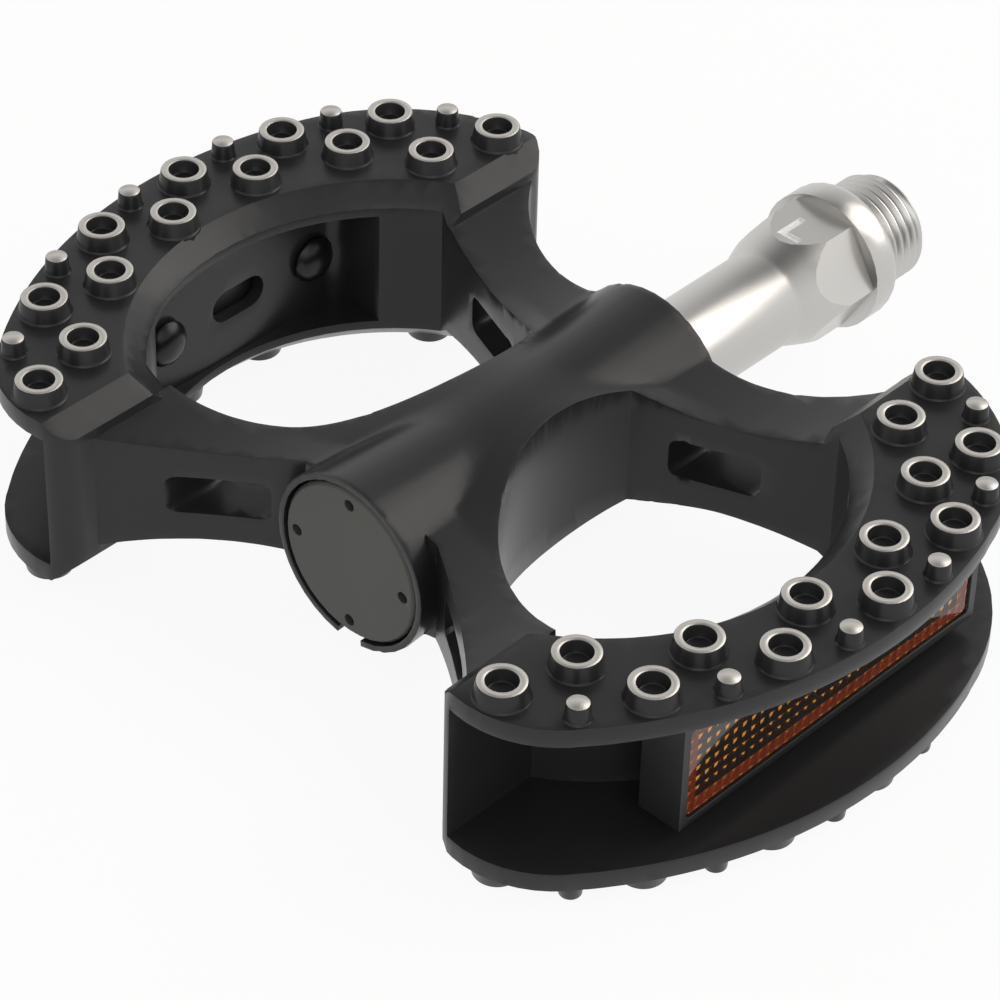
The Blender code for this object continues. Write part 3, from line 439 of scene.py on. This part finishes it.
def cut(made, tool):
    """A closed bmesh with another one cut out of it."""
    pair = []
    for solid in (made, tool):
        mesh = bpy.data.meshes.new("solid")
        solid.to_mesh(mesh)
        solid.free()
        pair.append(bpy.data.objects.new("solid", mesh))
        bpy.context.scene.collection.objects.link(pair[-1])
    pair[0].modifiers.new("Cut", "BOOLEAN").object = pair[1]
    result = bmesh.new()
    result.from_object(pair[0], bpy.context.evaluated_depsgraph_get())
    for solid in pair:
        bpy.data.objects.remove(solid)
    return result


def make_spindle(chrome, stamp):
    """The spindle with softened edges, a stamped side mark and a cut thread in place of the plain end."""
    low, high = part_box("spindle")
    bar = copy_node("spindle")
    radius = max(math.hypot(v.co.y, v.co.z) for v in bar.verts if v.co.x > high.x - 1.5 * THREAD_CHAMFER)
    collar = high.x - THREAD_LENGTH
    trim(bar, (collar + 2 * MERGE, 0, 0), (1, 0, 0))
    flatten(bar)
    bar = cut(bar, side_mark(WRENCH_FLATS / 2))
    for face in bar.faces:
        face.material_index = int(in_mark(face.calc_center_median()))
    core = bmesh.new()
    start = collar - THREAD_PITCH
    bmesh.ops.create_cone(core, cap_ends=True, segments=THREAD_STEPS, radius1=radius - THREAD_DEPTH,
                          radius2=radius - THREAD_DEPTH, depth=high.x - start)
    turn = Matrix.Translation(((high.x + start) / 2, 0, 0)) @ Matrix.Rotation(math.pi / 2, 4, "Y")
    add_copy(bar, core, turn)
    core.free()
    ridge = thread(radius, collar, high.x)
    add_copy(bar, ridge, Matrix.Identity(4))
    ridge.free()
    piece = add_piece("chromed_spindle", bar, "spindle", [chrome, stamp], "spindle")
    for face in piece.data.polygons:
        level = face.center.dot(face.normal)
        face.use_smooth = abs(face.normal.x) > LEVEL or abs(level - WRENCH_FLATS / 2) > PAD_SKIM
    soften(piece, FINE_EDGE, 2, 35)


def make_lens(side, amber, rim_glow_amber):
    """A reflector lens: a clear front, and a back cut into rows of small pyramids."""
    node = f"reflector_lens_{side}"
    low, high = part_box(node)
    way = -1 if side == "front" else 1
    back_y = high.y if way < 0 else low.y
    made = copy_node(node)
    flatten(made)
    for vert in made.verts:
        if abs(vert.co.y - back_y) < PRISM_DEPTH:
            vert.co.y = back_y + way * PRISM_DEPTH
    for axis in (0, 2):
        count = round((high[axis] - low[axis]) / PRISM_PITCH)
        normal = Vector((axis == 0, 0, axis == 2))
        for step in range(1, count):
            back = [f for f in made.faces if f.normal.y * way < -FACING]
            geometry = {item for f in back for item in (*f.verts, *f.edges, f)}
            place = normal * (low[axis] + (high[axis] - low[axis]) * step / count)
            bmesh.ops.bisect_plane(made, geom=list(geometry), plane_co=place, plane_no=normal)
    back = [f for f in made.faces if f.normal.y * way < -FACING]
    # Faces near the rim take the brighter orange, a painted highlight along the lens edge
    for face in back:
        centre = face.calc_center_bounds()
        inset = min(min(centre[axis] - low[axis], high[axis] - centre[axis]) for axis in (0, 2))
        face.material_index = int(inset < PRISM_PITCH)
    bmesh.ops.poke(made, faces=back, offset=PRISM_DEPTH)
    bmesh.ops.recalc_face_normals(made, faces=made.faces)
    piece = add_piece(f"prism_lens_{side}", made, "pedal", [amber, rim_glow_amber], node)
    piece.data.shade_flat()


def dress_node(node, name, body, material, width):
    """A softened copy of a CAD node that stands for it."""
    made = copy_node(node)
    flatten(made)
    piece = add_piece(name, made, body, [material], node)
    for face in piece.data.polygons:
        face.use_smooth = face.area < FLAT_AREA
    return soften(piece, width, 2)


def make_floor():
    """A pale floor that shows white to the camera, to metal and to glass, and keeps a soft shadow."""
    made = bpy.data.materials.new("white_sweep_paper")
    made.use_nodes = True
    tree = made.node_tree
    shader = tree.nodes["Principled BSDF"]
    shader.inputs["Base Color"].default_value = linear("#f2f2f0")
    shader.inputs["Roughness"].default_value = 0.9
    rays = add_node(tree, "ShaderNodeLightPath").outputs
    seen = rays["Is Camera Ray"]
    for name in ("Is Glossy Ray", "Is Transmission Ray"):
        either = add_node(tree, "ShaderNodeMath", {0: seen, 1: rays[name]}, operation="MAXIMUM")
        seen = either.outputs["Value"]
    share = add_node(tree, "ShaderNodeMath", {0: seen, 1: FLOOR_GLOW}, operation="MULTIPLY")
    glow = add_node(tree, "ShaderNodeEmission", {"Color": (1, 1, 1, 1), "Strength": 1.0})
    mix = add_node(tree, "ShaderNodeMixShader", {0: share.outputs["Value"], 1: shader.outputs["BSDF"],
                                                 2: glow.outputs["Emission"]})
    tree.links.new(mix.outputs["Shader"], tree.nodes["Material Output"].inputs["Surface"])
    plate = bmesh.new()
    bmesh.ops.create_grid(plate, x_segments=1, y_segments=1, size=FLOOR_SIZE)
    mesh = bpy.data.meshes.new("floor")
    plate.to_mesh(mesh)
    plate.free()
    mesh.materials.append(made)
    floor = bpy.data.objects.new("floor", mesh)
    floor.location.z = cad_size[0].z - PAD_SKIM
    bpy.context.scene.collection.objects.link(floor)


def make_world():
    """A studio with white walls round the object and a dim ceiling."""
    world = bpy.data.worlds.new("studio")
    world.use_nodes = True
    tree = world.node_tree
    place = add_node(tree, "ShaderNodeTexCoord").outputs["Generated"]
    height = add_node(tree, "ShaderNodeSeparateXYZ", {"Vector": place}).outputs["Z"]
    above = add_node(tree, "ShaderNodeMath", {0: height, 1: 0.0}, operation="MAXIMUM").outputs["Value"]
    curve = add_node(tree, "ShaderNodeMath", {0: above, 1: CEILING_CURVE}, operation="POWER")
    dim = add_node(tree, "ShaderNodeMapRange", {"Value": curve.outputs["Value"], "To Min": 1.0,
                                                "To Max": CEILING_LEVEL})
    back = tree.nodes["Background"]
    back.inputs["Color"].default_value = (1, 1, 1, 1)
    tree.links.new(dim.outputs["Result"], back.inputs["Strength"])
    bpy.context.scene.world = world


def add_light(name, place, aim, size, power, colour):
    """A square softbox that faces a point."""
    lamp = bpy.data.lights.new(name, "AREA")
    lamp.color = linear(colour)[:3]
    lamp.size = size
    lamp.energy = power
    light = bpy.data.objects.new(name, lamp)
    light.location = place
    light.rotation_euler = (Vector(aim) - Vector(place)).to_track_quat("-Z", "Y").to_euler()
    bpy.context.scene.collection.objects.link(light)


def make_camera():
    """The camera at the place and angle of the photograph."""
    azimuth, elevation, roll = (math.radians(a) for a in (CAMERA_AZIMUTH, CAMERA_ELEVATION, CAMERA_ROLL))
    back = Vector((math.sin(azimuth) * math.cos(elevation), -math.cos(azimuth) * math.cos(elevation),
                   math.sin(elevation)))
    level = Vector((math.cos(azimuth), math.sin(azimuth), 0))
    up = back.cross(level)
    right = level * math.cos(roll) + up * math.sin(roll)
    lens = bpy.data.cameras.new("camera")
    lens.lens = CAMERA_LENS
    camera = bpy.data.objects.new("camera", lens)
    turn = Matrix((right, back.cross(right), back)).transposed().to_4x4()
    camera.matrix_world = Matrix.Translation(CAMERA_PLACE) @ turn
    bpy.context.scene.collection.objects.link(camera)
    bpy.context.scene.camera = camera


def main():
    # Powder coat baked on die-cast aluminium: an even satin black with broad, soft highlights
    black = finish("black_powder_coat", "#272728", 0.3, patch=9.0, grain=0.35, bump=0.006,
                   Specular_IOR_Level=0.3)
    # Aluminium milled bare after coating: pale stud tops with a dull metal shine
    bare = finish("milled_aluminium", "#cfcbc5", 0.42, metallic=1.0, patch=1.2, grain=0.12)
    # Anodised aluminium blasted with fine beads: a flat dark grey
    grey = finish("blasted_anodised_cap", "#444440", 0.5, metallic=0.25, grain=0.1, bump=0.006)
    # Chrome plate on turned steel, left satin: a bright metal with wide highlights
    chrome = finish("satin_chrome", "#c6c4c1", 0.3, metallic=1.0, shade=0.95, grain=0.5, bump=0.002)
    # The same chrome frosted by the stamping die: a letter paler than the flat round it
    stamp = finish("frosted_stamped_chrome", "#f2f2f0", 0.6, metallic=0.3)
    # Ground bearing steel: a close, bright shine
    steel = finish("ground_steel", "#b4b4b4", 0.2, metallic=1.0, shade=0.95, grain=0.4, bump=0.001)
    # Moulded nitrile rubber: a dull black
    rubber = finish("nitrile_rubber", "#1b1b1b", 0.7, grain=0.2)
    # Moulded ABS: black with a faint sheen
    plastic = finish("black_abs", "#1d1d1e", 0.4, grain=0.25)
    # Moulded clear acrylic in amber: dark brown with points of light from its prisms
    amber = finish("amber_acrylic", "#d08a3c", 0.05, bump=0.0, IOR=1.49, Transmission_Weight=1.0)
    # The same acrylic along its rim, painted a brighter orange: a painted highlight for light caught along
    # the rim
    rim_glow_amber = finish("amber_acrylic_painted_rim_glow", "#f08a28", 0.12, bump=0.0, IOR=1.49, Transmission_Weight=0.5)
    # Steel screws in black oxide: near black with a metal glint
    oxide = finish("black_oxide_steel", "#2a2a2c", 0.3, metallic=0.7)

    make_casting(black, bare)
    make_spindle(chrome, stamp)
    dress_node("dust_cap", "cap_disc", "pedal", grey, FINE_EDGE)
    for side in ("front", "rear"):
        dress_node(f"reflector_housing_{side}", f"moulded_housing_{side}", "pedal", plastic,
                   FINE_EDGE)
        make_lens(side, amber, rim_glow_amber)
        for place in ("cap_side", "crank_side"):
            dress_node(f"reflector_screw_{side}_{place}", f"button_screw_{side}_{place}", "pedal",
                       oxide, FINE_EDGE)
    for name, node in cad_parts.items():
        if not node.hide_render:
            node.data.materials.clear()
            node.data.materials.append(rubber if name == "dust_seal" else steel)

    make_floor()
    make_world()
    middle = (cad_size[0] + cad_size[1]) / 2
    for name, (place, size, power, colour) in SOFTBOXES.items():
        add_light(name, middle + Vector(place), middle, size, power, colour)
    make_camera()
    bpy.context.scene.view_settings.view_transform = "Standard"


main()
